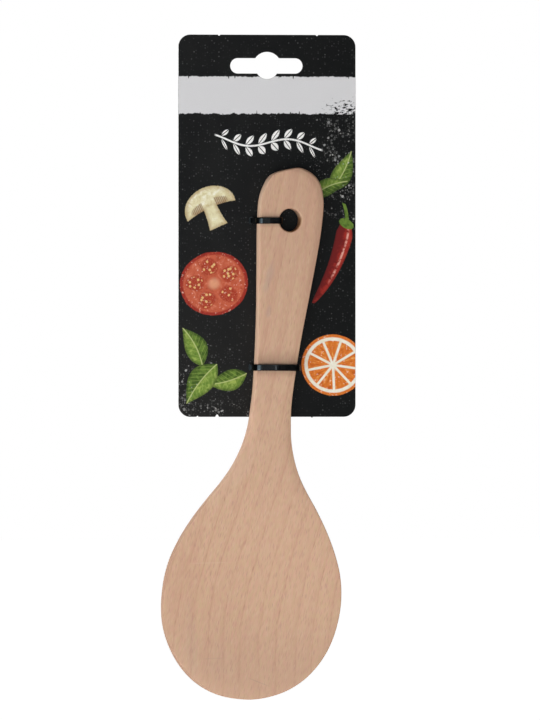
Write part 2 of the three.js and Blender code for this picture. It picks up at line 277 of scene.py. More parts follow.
# ---------------------------------------------------------------- materials
def beech():
    g = Graph("beech")
    x, y, z = g.place()
    # The grain leans across the spoon and straightens towards the tip. Each stripe follows x = sway(z).
    low, high = -290.0, -45.0
    sway_points = [(-284, -1.3), (-277, -1.6), (-265, -1.95), (-256.4, -1.77), (-247.6, -1.15), (-239, 0), (-230.2, 1.64),
                   (-221.5, 3.67), (-212.8, 6.07), (-195.3, 11.5), (-177.9, 16.9), (-160.4, 22), (-143, 25.7), (-125.6, 29.2),
                   (-108.1, 32.6), (-90.7, 36.4), (-73.2, 40.2), (-50, 45.1)]
    at = g.ramp(z, low, high, smooth=False)
    sway = g.curve(at, [((pz - low) / (high - low), (s + 5) / 55) for pz, s in sway_points])
    sway = g.mad(sway, 55.0, -5.0)
    wave = g.noise(g.vector(g.mul(x, 0.03), g.mul(y, 0.05), g.mul(z, 0.011)), detail=2.0)
    q = g.add(g.sub(x, sway), g.mad(wave, 5.0, g.mul(y, 0.55)))
    wiggle = g.noise(g.vector(g.mul(q, 0.22), g.mul(y, 0.3), g.mul(z, 0.085)), detail=1.0)
    q = g.add(q, g.mad(wiggle, 1.4, -0.7))

    # The fibres themselves run straight, leaning to the right all the way up, and less so in the handle.
    f = g.add(g.mad(z, -0.185, x), g.mad(wave, 3.0, g.mul(y, 0.55)))
    f = g.mad(g.high(g.add(z, 140.0), 0.0), 0.055, f)

    def streaks(across, along, shift, detail=1.0, rough=0.5):
        """Noise drawn out along the fibres: features about 1/across by 1/along millimetres."""
        return g.noise(g.vector(g.mad(f, across, shift), g.mul(y, across), g.mad(z, along, shift)), detail=detail, rough=rough)

    def dashes(across, along, shift, thin, soft, least):
        """Separate dashes along the grain, each with a strength and two more random values of its own."""
        d, r1, r2, r3 = g.flat_cells(g.mad(f, across, shift), g.mad(z, along, shift))
        return g.mul(g.ramp(d, thin, soft, 1.0, 0.0), g.ramp(r1, least, 1.0)), r2, r3

    # Growth rings: a soft late band, and where it ends a chain of darker cells. Some rings are fainter than others.
    uneven = g.noise(g.vector(g.mul(q, 0.05), 3.7, g.mul(z, 0.0025)), detail=1.0)
    turn = g.add(g.mul(q, 1 / 7.6), g.mad(uneven, 0.5, 0.12))
    ring = g.math("FRACT", turn)
    strong = g.ramp(g.noise(g.vector(g.mul(g.math("FLOOR", turn), 0.73), 8.1, g.mul(z, 0.004)), detail=0.0), 0.35, 0.6, 0.6, 1.0)
    broken = g.ramp(streaks(0.9, 0.14, 12.0, 2.0, 0.6), 0.40, 0.58, 0.4, 1.0)
    late = g.mul(g.ramp(ring, 0.45, 0.9), g.ramp(ring, 0.93, 1.0, 1.0, 0.0))
    line = g.mul(g.mul(g.ramp(ring, 0.84, 0.92), g.ramp(ring, 0.93, 0.99, 1.0, 0.0)), g.mul(strong, broken))
    half = g.math("FRACT", g.add(turn, 0.5))
    faint = g.mul(g.mul(g.ramp(half, 0.84, 0.91), g.ramp(half, 0.92, 0.99, 1.0, 0.0)), g.mul(broken, g.ramp(z, -190.0, -125.0, 0.35, 0.7)))

    # Ray flecks: short fine dashes, darker, paler, pinker and greener than the ground between them.
    fleck, tone, _ = dashes(1.5, 0.22, 0.0, 0.08, 0.38, -0.35)
    rows = g.ramp(g.noise(g.vector(g.mul(q, 0.85), g.mul(y, 0.85), g.mul(z, 0.012)), detail=0.0), 0.36, 0.62, 0.45, 1.15)
    fleck = g.mul(fleck, rows)
    spark, tone2, _ = dashes(1.4, 0.21, 41.0, 0.08, 0.36, 0.35)
    chain, _, _ = dashes(1.15, 0.23, 87.0, 0.10, 0.40, 0.35)
    mid = streaks(0.95, 0.15, 31.0)
    hue = streaks(2.0, 0.34, 83.0)
    broad = streaks(0.24, 0.012, 5.0, 2.0)
    fibre = streaks(3.6, 0.12, 71.0, 2.0, 0.6)
    tint = streaks(0.2, 0.008, 57.0, 1.0)
    grip = g.ramp(z, -150.0, -110.0)  # 0 on the blade, 1 on the handle

    colour = g.mix(g.ramp(hue, 0.30, 0.70), linear(204, 172, 136), linear(210, 166, 141))
    colour = g.mix(g.mul(g.ramp(broad, 0.3, 0.7), g.mad(grip, 0.22, 0.28)), colour, linear(199, 159, 134))
    colour = g.mix(g.mul(g.ramp(tint, 0.46, 0.62), g.mad(grip, 0.20, 0.12)), colour, linear(197, 149, 126))
    colour = g.mix(g.mul(late, g.mad(grip, 0.03, 0.16)), colour, linear(190, 144, 119))
    colour = g.mix(g.ramp(mid, 0.50, 0.72, 0.0, 0.22), colour, linear(212, 182, 152))
    colour = g.mix(g.ramp(mid, 0.50, 0.28, 0.0, 0.19), colour, linear(191, 150, 127))
    colour = g.mix(g.ramp(fibre, 0.50, 0.75, 0.0, 0.26), colour, linear(215, 186, 157))
    colour = g.mix(g.mul(spark, 0.52), colour, g.mix(tone2, linear(214, 187, 150), linear(213, 181, 159)))
    colour = g.mix(g.mul(fleck, g.mad(grip, -0.24, 0.66)), colour, g.mix(tone, linear(186, 140, 120), linear(179, 139, 127)))
    colour = g.mix(g.mul(chain, g.mad(g.add(line, faint), 0.62, 0.18)), colour, linear(174, 126, 108))
    colour = g.mix(g.mul(line, g.mad(grip, -0.10, 0.27)), colour, linear(182, 128, 104))
    colour = g.mix(g.mul(faint, 0.13), colour, linear(178, 130, 110))

    # The handle is painted a shade darker towards its top, painted shade where less light reaches, and the tip darker
    # and duller, with a few faint grey marks and three scratches.
    def patch(cx, cz, rx, rz, lean, shift):
        ragged = g.mad(g.noise(g.vector(g.mul(x, 0.35), shift, g.mul(z, 0.14)), detail=3.0), 1.3, -0.65)
        across = g.sub(g.sub(x, cx), g.mul(g.sub(z, cz), lean))
        return g.ramp(g.add(g.length(g.mul(across, 1 / rx), g.mul(g.sub(z, cz), 1 / rz)), ragged), 0.35, 1.1, 1.0, 0.0)

    # darker and duller towards the tip
    colour = g.mix(g.ramp(z, -238.0, -274.0, 0.0, 0.21), colour, linear(170, 138, 120))
    colour = g.mix(g.mul(patch(-38.0, -232.0, 14.0, 28.0, 0.0, 15.0), 0.18), colour, linear(186, 141, 117))
    colour = g.mix(g.mul(patch(-15.5, -184.0, 6.0, 16.0, 0.69, 17.0), 0.11), colour, linear(230, 205, 178))
    # painted shade: darker up the handle
    colour = g.mix(g.ramp(z, -160.0, -70.0, 0.0, 0.205), colour, linear(176, 137, 113))
    marks = g.high(g.high(g.mul(patch(-34.4, -256.0, 3.4, 20.0, -0.08, 1.0), 0.5), g.mul(patch(-21.0, -266.0, 7.0, 9.0, 0.0, 4.0), 0.2)),
                   g.high(patch(-0.3, -98.0, 2.1, 8.5, 0.27, 7.0), patch(-0.6, -113.4, 1.5, 3.2, 0.2, 9.0)))
    colour = g.mix(g.mul(marks, g.mad(grip, 0.08, 0.2)), colour, linear(164, 145, 136))
    scratch = g.mul(g.ramp(g.math("ABSOLUTE", g.sub(z, g.mad(x, 0.02, -222.1))), 0.1, 0.3, 1.0, 0.0),
                    g.mul(g.ramp(x, -36.0, -31.0), g.ramp(x, -22.0, -16.0, 1.0, 0.0)))
    colour = g.mix(g.mul(scratch, 0.19), colour, linear(222, 194, 170))
    scratch2 = g.mul(g.ramp(g.math("ABSOLUTE", g.sub(z, g.mad(x, -0.40, -276.4))), 0.1, 0.34, 1.0, 0.0),
                     g.mul(g.ramp(x, -10.0, -7.0), g.ramp(x, -2.0, 1.0, 1.0, 0.0)))
    colour = g.mix(g.mul(scratch2, 0.28), colour, linear(150, 128, 118))
    scratch3 = g.mul(g.ramp(g.math("ABSOLUTE", g.sub(z, g.mad(x, 0.03, -263.5))), 0.1, 0.4, 1.0, 0.0),
                     g.mul(g.ramp(x, -31.0, -27.0), g.ramp(x, -22.0, -18.0, 1.0, 0.0)))
    colour = g.mix(g.mul(scratch3, 0.14), colour, linear(150, 128, 118))

    # The sanded edges are painted darker: painted shade that dims the highlight on their rounding, strongest on the
    # handle's left edge and weaker on the blade's left edge beside its shoulder.
    nx, ny, nz = g.normal()
    lean = g.sub(g.length(nx, g.low(nz, 0.0)), g.mul(g.high(nz, 0.0), 0.5))
    wear_and_edge_shade = g.mul(g.mul(g.ramp(lean, 0.25, 0.6), g.ramp(lean, 0.82, 0.99, 1.0, 0.0)), g.ramp(ny, -0.2, -0.4))
    shoulder = g.mul(g.ramp(nx, 0.2, -0.45), g.mul(g.ramp(z, -210.0, -188.0), g.ramp(z, -145.0, -165.0)))
    handle_left_side = g.mul(grip, g.ramp(nx, -0.1, -0.3))
    # painted shade on the rounded edges
    colour = g.mix(g.mul(wear_and_edge_shade, g.add(g.mad(shoulder, -0.12, 0.17), g.mul(handle_left_side, 0.16))), colour, linear(112, 82, 62))
    # painted light: the handle's left wall is made paler and yellower, as if lit more from the left
    colour = g.mix(g.mul(g.ramp(nx, -0.5, -0.85), g.mul(grip, 0.4)), colour, linear(194, 170, 140))
    # painted shade: faces of the handle turned to the right are darker
    colour = g.mix(g.mul(g.ramp(nx, 0.03, 0.22), g.ramp(z, -140.0, -60.0, 0.0, 0.15)), colour, linear(112, 82, 62))
    # painted shade: left-facing edges low on the blade are darker
    colour = g.mix(g.mul(g.ramp(nx, -0.35, -0.7), g.ramp(z, -190.0, -212.0, 0.0, 0.22)), colour, linear(150, 112, 90))

    # painted shade: surfaces facing downwards are darker
    colour = g.mix(g.ramp(nz, -0.05, -0.7, 0.0, 0.24), colour, linear(150, 112, 90))

    # Painted shade along the two straps, more above them than below: the soft shadow that the straps cast on the wood.
    def strap_shade_band(at, up, above, down, below):
        over = g.mul(g.ramp(z, at + up, at + 1.2, 0.0, above), g.ramp(z, at - 0.6, at + 0.6))
        under = g.mul(g.ramp(z, at - down, at - 1.7, 0.0, below), g.ramp(z, at + 0.6, at - 0.6))
        return g.add(over, under)

    strap_shade = g.add(strap_shade_band(LOWER_TIE["z"], 9.5, 0.34, 4.9, 0.28), g.mul(strap_shade_band(UPPER_TIE["z"], 5.0, 0.10, 3.5, 0.26), g.ramp(x, 8.0, 4.5)))
    # painted shadow of the straps, on the front face only
    colour = g.mix(g.mul(strap_shade, g.ramp(ny, -0.3, -0.7)), colour, linear(90, 66, 53))

    # End grain at the handle's end and the tip is darker, partly its own colour and partly painted shade on the rounded
    # ends, and shows the pores as dots.
    end = g.mul(g.ramp(g.math("ABSOLUTE", nz), 0.3, 0.9), g.high(grip, g.ramp(nz, 0.0, -0.1)))
    dot, _ = g.cells(g.vector(g.mul(x, 2.6), g.mul(y, 2.6), g.mul(z, 0.3)))
    # darker end grain, partly painted shade on the rounded ends
    colour = g.mix(g.mul(end, 0.32), colour, linear(172, 132, 108))
    colour = g.mix(g.mul(g.mul(end, g.ramp(dot, 0.1, 0.34, 1.0, 0.0)), 0.35), colour, linear(140, 104, 86))
    # The drilled bore is painted darker and more orange than the sanded faces, partly the raw wood's own colour and
    # partly painted warm light bounced inside the bore; it is left paler near its top, painted light where the upper
    # wall is lit.
    hx = SPOON_AXIS_X + HOLE_SIDE * math.cos(SPOON_TILT)
    hz = SPOON_HOLE_Z - HOLE_SIDE * math.sin(SPOON_TILT)
    dx = g.sub(x, hx)
    oval = g.mad(g.low(dx, 0.0), 1 / HOLE_OVAL[0], g.mul(g.high(dx, 0.0), 1 / HOLE_OVAL[1]))
    bore = g.mul(g.ramp(g.length(oval, g.sub(z, hz)), HOLE_R + 0.02, HOLE_R + 0.5, 1.0, 0.0), g.ramp(g.sub(z, hz), 2.4, 0.3, 0.0, 0.75))
    colour = g.mix(bore, colour, linear(172, 122, 80))

    height = g.sub(g.mad(fibre, 0.45, g.mul(mid, 0.2)), g.add(g.mul(fleck, 0.3), g.mul(line, 0.25)))
    rough = g.add(g.ramp(fibre, 0.3, 0.7, 0.60, 0.72), g.mul(fleck, 0.06))
    return g.surface(colour, rough, height, (0.22, 0.00005), Specular_IOR_Level=0.25)


def black_nylon():
    g = Graph("black_nylon")
    x, y, z = g.place()
    cloud = g.noise(g.vector(g.mul(x, 0.35), g.mul(y, 0.35), g.mul(z, 0.7)), detail=2.0)
    fine = g.noise(g.vector(g.mul(x, 1.6), g.mul(y, 1.6), g.mul(z, 9.0)), detail=2.0)
    colour = g.mix(g.ramp(cloud, 0.3, 0.7), linear(2, 2, 2), linear(4, 4, 4))
    rough = g.add(g.ramp(cloud, 0.3, 0.7, 0.08, 0.12), g.mul(fine, 0.04))
    return g.surface(colour, rough, g.mad(cloud, 1.2, g.mul(fine, 0.5)), (0.03, 0.00003), Specular_IOR_Level=0.4, Specular_Tint=(0.9, 0.96, 1.0, 1.0))


def board(name, pale, fibre_dark, layered):
    """Uncoated board: the card's back, and its cut edge with the layers showing."""
    g = Graph(name)
    x, y, z = g.place()
    pulp = g.noise(g.vector(g.mul(x, 0.55), g.mul(y, 2.0), g.mul(z, 0.35)), detail=5.0, rough=0.65)
    hair = g.noise(g.vector(g.mul(x, 2.4), g.mul(y, 6.0), g.mul(z, 0.5)), detail=3.0, rough=0.6, distortion=1.2)
    colour = g.mix(g.ramp(pulp, 0.3, 0.7), pale, fibre_dark)
    colour = g.mix(g.mul(g.ramp(hair, 0.62, 0.72), 0.3), colour, linear(150, 143, 134))
    if layered:
        layer = g.noise(g.vector(g.mul(x, 0.3), g.mul(y, 14.0), g.mul(z, 0.3)), detail=2.0)
        colour = g.mix(g.ramp(layer, 0.4, 0.65, 0.0, 0.5), colour, linear(158, 153, 148))
        # The front ply carries the print right to the cut.
        colour = g.mix(g.ramp(y, -0.27, -0.19, 0.85, 0.0), colour, linear(40, 39, 40))
    height = g.mad(pulp, 0.6, g.mul(hair, 0.4))
    return g.surface(colour, 0.82, height, (0.25, 0.00005), Specular_IOR_Level=0.2)


def printed_front():
    """The card's front: black ground with chalk dust and splashes, a pale torn band, a chalk sprig and painted vegetables."""
    g = Graph("printed_card")
    x, y, z = g.place()
    flat = g.vector(x, 0.0, z)
    grain = g.noise(flat, 3.2, 3.0, 0.6)
    cloud = g.noise(flat, 0.07, 4.0)
    brush = g.noise(flat, 0.42, 5.0, 0.62, 0.6)
    daub = g.noise(flat, 1.5, 4.0, 0.65)
    colour = g.mix(g.ramp(cloud, 0.3, 0.75), linear(15, 14, 14), linear(22, 21, 20))
    colour = g.mix(g.ramp(x, -20.0, 34.0, 0.0, 0.75), colour, linear(8, 8, 7))
    colour = g.mix(g.mul(g.ramp(x, 20.0, -30.0), g.ramp(z, -70.0, -150.0, 0.0, 0.7)), colour, linear(30, 28, 26))

    def local(cx, cz, turn):
        """Coordinates about a centre, the first one along a direction turned from +X towards +Z."""
        c, s = math.cos(math.radians(turn)), math.sin(math.radians(turn))
        dx, dz = g.sub(x, cx), g.sub(z, cz)
        return g.mad(dx, c, g.mul(dz, s)), g.mad(dz, c, g.mul(dx, -s))

    def oval(u, v, a, b):
        return g.mul(g.sub(g.length(g.mul(u, 1 / a), g.mul(v, 1 / b)), 1.0), min(a, b))

    def size(v):
        return g.math("ABSOLUTE", v)

    def tones(factor, dark, mid, light):
        """Three tones run into one another."""
        return g.mix(g.ramp(factor, 0.52, 0.72), g.mix(g.ramp(factor, 0.28, 0.5), linear(*dark), linear(*mid)), linear(*light))

    # ---- chalk dust and splashes, thicker low on the left and down the right side
    thick = g.high(g.mul(g.ramp(x, 6.0, -34.0), g.ramp(z, -112.0, -156.0)), g.mul(g.mul(g.ramp(x, 14.0, 32.0), g.ramp(z, -26.0, -30.0)), g.ramp(z, -84.0, -58.0)))
    thick = g.mul(g.mad(thick, 0.8, 0.24), g.ramp(g.noise(flat, 0.16, 3.0), 0.36, 0.6, 0.35, 1.25))

    def splash(scale, shift, least, most, strength):
        d, r1, r2, _ = g.flat_cells(g.mad(x, scale, shift), g.mad(z, scale, shift))
        bent = g.add(d, g.mad(daub, 0.34, -0.17))
        here = g.ramp(g.add(r1, g.mul(thick, 0.42)), least, least + 0.4)
        return g.mul(g.ramp(g.sub(bent, g.mul(here, most)), -0.12, 0.0, 1.0, 0.0), g.mul(here, g.mad(g.mul(g.mul(r2, r2), r2), strength * 0.82, strength * 0.18)))

    dust = g.mul(g.ramp(g.noise(flat, 1.1, 5.0, 0.8), 0.60, 0.74), g.mul(thick, 0.16))
    specks = g.high(g.high(splash(1.25, 3.0, 0.96, 0.42, 0.36), splash(0.62, 19.0, 0.96, 0.40, 0.66)), g.high(g.high(splash(0.36, 47.0, 1.0, 0.30, 0.34), splash(1.0, 91.0, 0.66, 0.36, 0.10)), dust))
    colour = g.mix(specks, colour, linear(206, 205, 202))

    # ---- pale band with torn brush edges
    tear = g.noise(g.vector(g.mul(x, 0.45), 4.0, g.mul(z, 0.05)), detail=5.0, rough=0.65)
    tear2 = g.noise(g.vector(g.mul(x, 0.3), 9.0, g.mul(z, 0.1)), detail=6.0, rough=0.7)
    chip = g.ramp(g.noise(g.vector(g.mul(x, 0.62), 21.0, 0.0), detail=1.0), 0.64, 0.70, 0.0, -1.0)
    notch = g.ramp(g.noise(g.vector(g.mul(x, 0.8), 33.0, 0.0), detail=2.0), 0.60, 0.70, 0.0, 1.5)
    top = g.sub(g.add(g.mad(tear, 2.4, -11.9), chip), z)  # > 0 below the upper edge
    base = g.sub(z, g.add(g.mad(tear2, 3.4, -28.7), notch))  # > 0 above the lower edge
    band = g.mul(g.ramp(top, -0.1, 0.15), g.ramp(base, -0.1, 0.15))
    worn_at = g.mul(g.ramp(x, 21.0, 36.0), g.ramp(z, -17.5, -26.5))
    hair = g.noise(g.vector(g.mul(x, 0.5), 6.0, g.mul(z, 1.3)), detail=3.0, rough=0.6)
    wear_and_edge_shade = g.mul(g.ramp(g.sub(hair, g.mul(worn_at, 0.13)), 0.38, 0.35), g.ramp(worn_at, 0.02, 0.2))
    band = g.mul(band, g.sub(1.0, wear_and_edge_shade))
    colour = g.mix(band, colour, g.mix(g.ramp(grain, 0.3, 0.7), linear(210, 209, 210), linear(218, 217, 218)))

    # ---- chalk sprig under the band: a waving stem with leaves in pairs, smaller towards its ends
    u, v = local(1.0, -39.5, -4)
    v = g.sub(v, g.mul(g.math("SINE", g.mul(u, 0.17)), 2.1))
    fade = g.mad(g.mul(u, u), -0.00115, 1.0)  # 1 in the middle, less at the ends
    pitch = 5.6
    cell = g.mul(g.sub(g.math("FRACT", g.mul(u, 1 / pitch)), 0.5), pitch)
    lu, lv = cell, g.sub(size(v), 2.5)
    c, sn = math.cos(math.radians(52)), math.sin(math.radians(52))
    along, across = g.mad(lu, c, g.mul(lv, sn)), g.mad(lv, c, g.mul(lu, -sn))
    leaf_d = g.sub(size(across), g.mul(g.mul(fade, 1.4), g.sub(1.0, g.mul(g.mul(along, along), 1 / 7.0))))
    rib = g.ramp(g.sub(size(across), 0.14), -0.05, 0.08)
    leaves = g.mul(g.mul(g.ramp(leaf_d, -0.12, 0.08, 1.0, 0.0), rib), g.ramp(size(u), 20.5, 21.2, 1.0, 0.0))
    stem = g.mul(g.ramp(size(v), 0.3, 0.5, 1.0, 0.0), g.ramp(size(u), 23.0, 24.5, 1.0, 0.0))
    chalk = g.mul(g.high(leaves, stem), g.ramp(g.noise(flat, 1.9, 4.0, 0.75), 0.34, 0.46, 0.25, 1.0))
    colour = g.mix(chalk, colour, linear(244, 243, 240))

    # ---- leaves
    def leaf(colour, cx, cz, turn, long, wide, bend, dark, mid, light):
        u, v = local(cx, cz, turn)
        v = g.sub(v, g.mul(g.mul(u, u), bend))
        t = g.mul(u, 1 / long)
        half = g.mul(g.mul(g.sub(1.0, g.mul(t, t)), g.mad(t, -0.35, 1.0)), wide)
        d = g.add(g.high(g.sub(size(v), half), g.sub(size(u), long)), g.mad(daub, 0.7, -0.35))
        veins = g.math("FRACT", g.mad(u, 1 / 2.1, g.mul(size(v), -0.42)))
        body = tones(g.mad(g.ramp(v, -0.6, 0.6), 0.2, g.mad(brush, 0.9, -0.08)), dark, mid, light)
        body = g.mix(g.mul(g.ramp(size(g.sub(veins, 0.5)), 0.05, 0.16, 1.0, 0.0), 0.35), body, linear(*light))
        body = g.mix(g.ramp(d, -1.6, -0.1, 0.0, 0.55), body, linear(*[k * 0.55 for k in dark]))
        body = g.mix(g.ramp(size(v), 0.12, 0.36, 0.8, 0.0), body, linear(188, 196, 128))
        return g.mix(g.inside(d, 0.14), colour, body)

    green = ((66, 92, 30), (104, 134, 50), (156, 176, 84))
    colour = leaf(colour, 34.0, -52.5, 62, 10.0, 4.2, 0.012, *green)
    colour = leaf(colour, 27.5, -58.5, 24, 8.8, 3.6, -0.02, *green)
    colour = leaf(colour, -31.5, -128.0, 118, 9.5, 4.8, 0.015, *green)
    colour = leaf(colour, -17.0, -143.5, 196, 9.0, 4.4, -0.012, *green)
    colour = leaf(colour, -29.5, -144.0, 232, 11.0, 5.6, 0.01, *green)

    # ---- mushroom, cut lengthways
    u, v = local(-25.0, -67.5, 24)
    cap = g.high(oval(u, g.sub(v, -0.5), 11.6, 9.2), g.sub(g.mad(g.mul(u, u), -0.012, -0.4), v))
    foot = g.high(g.sub(size(u), g.mad(g.mul(v, v), 0.012, 3.1)), g.high(g.sub(v, 1.5), g.sub(-9.6, v)))
    d = g.add(g.low(cap, foot), g.mad(daub, 0.8, -0.4))
    body = tones(brush, (204, 188, 140), (226, 218, 178), (240, 236, 212))
    body = g.mix(g.ramp(d, -2.2, 0.0, 0.0, 0.6), body, linear(168, 138, 88))
    body = g.mix(g.mul(g.ramp(oval(u, g.sub(v, 4.6), 7.4, 2.6), 0.0, 0.8, 1.0, 0.0), g.ramp(brush, 0.45, 0.65, 0.0, 0.7)), body, linear(246, 243, 228))
    gills = g.mul(g.inside(g.high(oval(u, g.sub(v, 0.4), 8.6, 2.7), g.sub(3.0, size(u))), 0.3), g.ramp(g.math("FRACT", g.mul(u, 1.25)), 0.2, 0.6, 1.0, 0.5))
    body = g.mix(g.mul(gills, 0.85), body, linear(126, 84, 56))
    colour = g.mix(g.inside(d, 0.14), colour, body)

    # ---- tomato slice
    def wheel(u, v, count, phase):
        r = g.length(u, v)
        turn = g.mad(g.math("ARCTAN2", v, u), count / (2 * math.pi), phase)
        cell = g.sub(g.math("FRACT", turn), 0.5)
        return r, turn, g.mul(g.mul(cell, 2 * math.pi / count), r)

    u, v = local(-23.2, -101.0, 12)
    r, turn, arc_at = wheel(g.mul(u, 0.97), g.mul(v, 1.06), 5, 0.2)
    r = g.add(r, g.mad(brush, 1.2, -0.6))
    body = tones(brush, (168, 70, 46), (194, 92, 64), (214, 132, 100))
    lobe = g.sub(g.length(g.mul(g.sub(r, 8.3), 1 / 4.1), g.mul(arc_at, 1 / 3.7)), 1.0)
    gel = tones(daub, (138, 42, 28), (170, 62, 40), (206, 118, 84))
    body = g.mix(g.ramp(lobe, -0.14, 0.1, 1.0, 0.0), body, gel)
    d2, s1, s2, _ = g.flat_cells(g.mul(u, 0.52), g.mul(v, 0.52))
    seed = g.mul(g.ramp(d2, 0.24, 0.34, 1.0, 0.0), g.mul(g.ramp(s1, 0.3, 0.4), g.ramp(lobe, -0.25, -0.1, 1.0, 0.0)))
    body = g.mix(g.mul(seed, 0.9), body, linear(226, 190, 122))
    body = g.mix(g.ramp(r, 1.0, 3.6, 0.65, 0.0), body, linear(228, 172, 134))
    body = g.mix(g.ramp(r, 12.8, 13.6), body, tones(brush, (132, 34, 24), (158, 48, 34), (190, 84, 60)))
    glint = g.mul(g.ramp(g.noise(flat, 0.9, 3.0), 0.60, 0.68), g.ramp(r, 4.0, 7.0))
    body = g.mix(g.mul(glint, 0.6), body, linear(240, 206, 184))
    colour = g.mix(g.inside(g.sub(r, 14.6), 0.16), colour, body)

    # ---- chilli, bent, with its green stalk
    u, v = local(29.5, -91.0, 68)
    v = g.sub(v, g.mad(g.mul(u, u), 0.0065, -1.4))
    t = g.ramp(u, -21.0, 17.0, smooth=False)
    half = g.mul(g.math("SQRT", t), g.ramp(t, 0.86, 1.0, 4.1, 2.7))
    d = g.add(g.high(g.sub(size(v), half), g.high(g.sub(u, 17.0), g.sub(-20.4, u))), g.mad(daub, 0.5, -0.25))
    body = tones(g.mad(brush, 0.7, g.mul(v, -0.07)), (112, 22, 20), (170, 46, 34), (206, 84, 58))
    shine = g.mul(g.ramp(size(g.add(v, g.mul(half, 0.42))), 0.15, 0.7, 1.0, 0.0), g.mul(g.ramp(t, 0.25, 0.45), g.ramp(brush, 0.4, 0.58)))
    body = g.mix(g.mul(shine, 0.75), body, linear(240, 190, 170))
    body = g.mix(g.ramp(d, -1.2, 0.0, 0.0, 0.5), body, linear(84, 16, 16))
    colour = g.mix(g.inside(d, 0.14), colour, body)
    stalk = g.low(oval(g.sub(u, 17.2), v, 2.0, 3.4), g.high(g.sub(size(g.sub(v, g.mul(g.mul(g.sub(u, 17), g.sub(u, 17)), 0.035))), 0.85), g.high(g.sub(u, 25.0), g.sub(17.0, u))))
    stalk = g.add(stalk, g.mad(daub, 0.4, -0.2))
    colour = g.mix(g.inside(stalk, 0.14), colour, tones(g.mad(brush, 0.8, 0.05), *green))

    # ---- citrus slice, running off the card's edge
    u, v = local(29.5, -136.5, -8)
    r, turn, arc_at = wheel(u, g.mul(v, 1.05), 9, 0.0)
    r = g.add(r, g.mad(brush, 0.5, -0.25))
    body = g.mix(g.ramp(brush, 0.3, 0.7), linear(236, 228, 206), linear(246, 242, 230))
    rays = g.noise(g.vector(g.mul(turn, 5.0), 2.0, g.mul(r, 0.35)), detail=3.0)
    pulp = tones(rays, (196, 88, 26), (222, 120, 40), (238, 168, 84))
    wedge = g.high(g.sub(size(arc_at), g.mad(r, math.pi / 9, -0.42)), g.high(g.sub(r, 11.3), g.sub(1.5, r)))
    body = g.mix(g.ramp(wedge, -0.3, 0.05, 1.0, 0.0), body, pulp)
    body = g.mix(g.ramp(r, 12.5, 12.9), body, tones(daub, (198, 92, 26), (222, 118, 38), (238, 158, 76)))
    body = g.mix(g.mul(g.ramp(g.noise(flat, 0.8, 3.0), 0.60, 0.68), 0.5), body, linear(250, 238, 222))
    colour = g.mix(g.inside(g.sub(r, 14.0), 0.16), colour, body)

    # ---- a little dust lies over the paintings too
    over = splash(0.85, 71.0, 1.06, 0.34, 0.6)
    colour = g.mix(g.mul(over, g.sub(1.0, band)), colour, linear(222, 220, 214))
    return g, x, y, z, colour, grain


def finish_front(g, x, y, z, colour, grain):
    height = g.mul(grain, 1.0)
    rough = g.ramp(grain, 0.3, 0.7, 0.42, 0.52)
    return g.surface(colour, rough, height, (0.06, 0.00003), Specular_IOR_Level=0.12)


BEECH = beech()
NYLON = black_nylon()
BOARD_BACK = board("board_back", linear(214, 210, 202), linear(200, 195, 186), False)
BOARD_EDGE = board("board_edge", linear(206, 204, 200), linear(186, 183, 178), True)
PRINT = finish_front(*printed_front())


# ---------------------------------------------------------------- mesh helpers
def closed_spline(points, per=60):
    """A smooth closed curve through the points (centripetal Catmull-Rom)."""
    p = np.array(points, float)
    n = len(p)
    out = []
    for i in range(n):
        p0, p1, p2, p3 = p[i - 1], p[i], p[(i + 1) % n], p[(i + 2) % n]
        d0, d1, d2 = (np.linalg.norm(b - a) ** 0.5 for a, b in ((p0, p1), (p1, p2), (p2, p3)))
        t1 = ((p1 - p0) / d0 - (p2 - p0) / (d0 + d1) + (p2 - p1) / d1) * d1
        t2 = ((p2 - p1) / d1 - (p3 - p1) / (d1 + d2) + (p3 - p2) / d2) * d1
        for t in np.arange(per) / per:
            out.append(p1 + t1 * t + (-3 * p1 + 3 * p2 - 2 * t1 - t2) * t**2 + (2 * p1 - 2 * p2 + t1 + t2) * t**3)
    return np.array(out)


def even(loop, count):
    """A closed polyline resampled at equal steps."""
    q = np.vstack([loop, loop[:1]])
    s = np.concatenate([[0], np.cumsum(np.linalg.norm(np.diff(q, axis=0), axis=1))])
    at = np.linspace(0, s[-1], count + 1)[:-1]
    return np.stack([np.interp(at, s, q[:, k]) for k in range(2)], 1)


def arc(cx, cy, r, a0, a1, n):
    t = np.linspace(a0, a1, n + 1)
    return np.stack([cx + r * np.cos(t), cy + r * np.sin(t)], 1)


def area_of(loop):
    a, b = loop, np.roll(loop, -1, 0)
    return 0.5 * np.sum(a[:, 0] * b[:, 1] - b[:, 0] * a[:, 1])


def within(points, loop):
    """Which points are inside a closed polyline."""
    x, y = points[:, 0], points[:, 1]
    hit = np.zeros(len(points), bool)
    a, b = loop, np.roll(loop, -1, 0)
    for (x0, y0), (x1, y1) in zip(a, b):
        cross = (y0 > y) != (y1 > y)
        if cross.any():
            hit ^= cross & (x < (x1 - x0) * (y - y0) / (y1 - y0 + 1e-15) + x0)
    return hit


